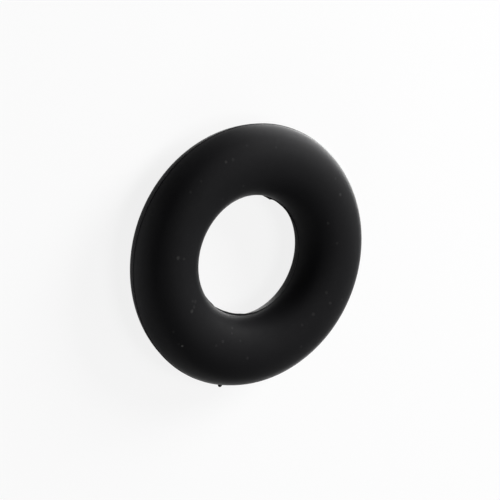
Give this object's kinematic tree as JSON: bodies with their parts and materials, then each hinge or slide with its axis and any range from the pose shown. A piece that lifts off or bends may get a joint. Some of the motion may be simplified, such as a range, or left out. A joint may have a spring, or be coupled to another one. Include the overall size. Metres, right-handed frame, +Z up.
{
  "type": "silicone ring",
  "caption": "Plump moulded silicone ring with a rounded section, a round open hole and thin flash along its parting line.",
  "frame": {"origin": "on the surface that the ring lies on, below the centre of its hole", "axes": "+Z up along the ring's axis, through the hole; X and Y across the ring, with the vent nub near -Y"},
  "size_m": [0.0506, 0.0506, 0.0108],
  "materials": {
    "silicone": "matt black moulded silicone"
  },
  "bodies": {
    "root": {"ring": "silicone"}
  },
  "joints": []
}
